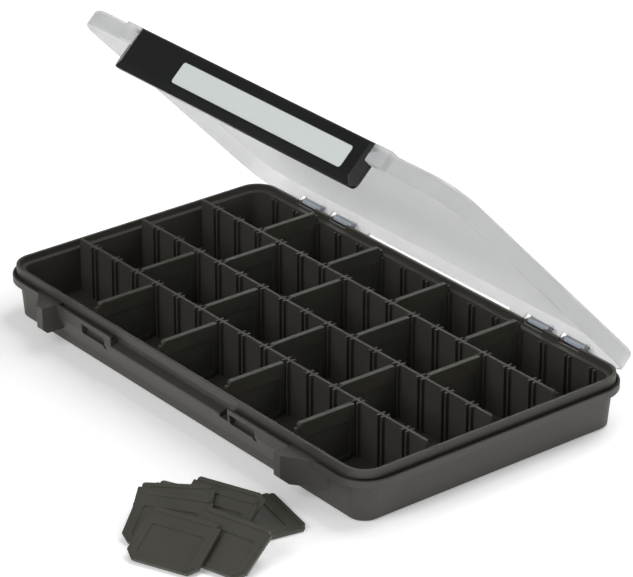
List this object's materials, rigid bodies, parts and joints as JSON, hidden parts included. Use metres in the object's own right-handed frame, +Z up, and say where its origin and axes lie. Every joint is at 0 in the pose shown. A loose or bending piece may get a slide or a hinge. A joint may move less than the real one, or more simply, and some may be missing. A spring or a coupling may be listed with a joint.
{
  "type": "compartment storage box",
  "caption": "Flat dark plastic box with rows of slotted compartments, lift-out dividers, a clear hinged lid and a snap latch with a label.",
  "frame": {"origin": "centre of the tray's underside, on the surface it stands on", "axes": "+X along the long side, to the right seen from the latch; +Y to the hinges; +Z up"},
  "size_m": [0.3534, 0.3255, 0.1933],
  "materials": {
    "tray": "matte",
    "divider": "matte",
    "lid": "translucent",
    "latch": "satin",
    "label": "matte"
  },
  "bodies": {
    "tray": {"base_tray": "tray", "partition_front": "tray", "partition_middle": "tray", "partition_rear": "tray", "loose_divider_1": "divider", "loose_divider_2": "divider", "loose_divider_3": "divider", "loose_divider_4": "divider", "loose_divider_5": "divider", "loose_divider_6": "divider", "loose_divider_7": "divider", "loose_divider_8": "divider"},
    "lid": {"lid": "lid"},
    "latch": {"latch": "latch", "label_card": "label"},
    "divider_row1_slot04": {"divider_row1_slot04": "divider"},
    "divider_row1_slot07": {"divider_row1_slot07": "divider"},
    "divider_row1_slot10": {"divider_row1_slot10": "divider"},
    "divider_row1_slot13": {"divider_row1_slot13": "divider"},
    "divider_row2_slot03": {"divider_row2_slot03": "divider"},
    "divider_row2_slot06": {"divider_row2_slot06": "divider"},
    "divider_row2_slot09": {"divider_row2_slot09": "divider"},
    "divider_row2_slot12": {"divider_row2_slot12": "divider"},
    "divider_row3_slot04": {"divider_row3_slot04": "divider"},
    "divider_row3_slot07": {"divider_row3_slot07": "divider"},
    "divider_row3_slot10": {"divider_row3_slot10": "divider"},
    "divider_row3_slot13": {"divider_row3_slot13": "divider"},
    "divider_row4_slot03": {"divider_row4_slot03": "divider"},
    "divider_row4_slot06": {"divider_row4_slot06": "divider"},
    "divider_row4_slot09": {"divider_row4_slot09": "divider"},
    "divider_row4_slot12": {"divider_row4_slot12": "divider"}
  },
  "joints": [
    {"name": "lid_hinge", "type": "hinge", "parent": "tray", "child": "lid", "pos_m": [0, 0.1037, 0.0308], "axis": [-1, 0, 0], "range_deg": [-46.4, 133.6]},
    {"name": "latch_hinge", "type": "hinge", "parent": "lid", "child": "latch", "pos_m": [0, -0.03805, 0.1898], "axis": [-1, 0, 0], "range_deg": [-5, 75]},
    {"name": "lift_row1_slot04", "type": "slide", "parent": "tray", "child": "divider_row1_slot04", "axis": [0, 0, 1], "range_m": [0, 0.04]},
    {"name": "lift_row1_slot07", "type": "slide", "parent": "tray", "child": "divider_row1_slot07", "axis": [0, 0, 1], "range_m": [0, 0.04]},
    {"name": "lift_row1_slot10", "type": "slide", "parent": "tray", "child": "divider_row1_slot10", "axis": [0, 0, 1], "range_m": [0, 0.04]},
    {"name": "lift_row1_slot13", "type": "slide", "parent": "tray", "child": "divider_row1_slot13", "axis": [0, 0, 1], "range_m": [0, 0.04]},
    {"name": "lift_row2_slot03", "type": "slide", "parent": "tray", "child": "divider_row2_slot03", "axis": [0, 0, 1], "range_m": [0, 0.04]},
    {"name": "lift_row2_slot06", "type": "slide", "parent": "tray", "child": "divider_row2_slot06", "axis": [0, 0, 1], "range_m": [0, 0.04]},
    {"name": "lift_row2_slot09", "type": "slide", "parent": "tray", "child": "divider_row2_slot09", "axis": [0, 0, 1], "range_m": [0, 0.04]},
    {"name": "lift_row2_slot12", "type": "slide", "parent": "tray", "child": "divider_row2_slot12", "axis": [0, 0, 1], "range_m": [0, 0.04]},
    {"name": "lift_row3_slot04", "type": "slide", "parent": "tray", "child": "divider_row3_slot04", "axis": [0, 0, 1], "range_m": [0, 0.04]},
    {"name": "lift_row3_slot07", "type": "slide", "parent": "tray", "child": "divider_row3_slot07", "axis": [0, 0, 1], "range_m": [0, 0.04]},
    {"name": "lift_row3_slot10", "type": "slide", "parent": "tray", "child": "divider_row3_slot10", "axis": [0, 0, 1], "range_m": [0, 0.04]},
    {"name": "lift_row3_slot13", "type": "slide", "parent": "tray", "child": "divider_row3_slot13", "axis": [0, 0, 1], "range_m": [0, 0.04]},
    {"name": "lift_row4_slot03", "type": "slide", "parent": "tray", "child": "divider_row4_slot03", "axis": [0, 0, 1], "range_m": [0, 0.015]},
    {"name": "lift_row4_slot06", "type": "slide", "parent": "tray", "child": "divider_row4_slot06", "axis": [0, 0, 1], "range_m": [0, 0.015]},
    {"name": "lift_row4_slot09", "type": "slide", "parent": "tray", "child": "divider_row4_slot09", "axis": [0, 0, 1], "range_m": [0, 0.015]},
    {"name": "lift_row4_slot12", "type": "slide", "parent": "tray", "child": "divider_row4_slot12", "axis": [0, 0, 1], "range_m": [0, 0.015]}
  ]
}
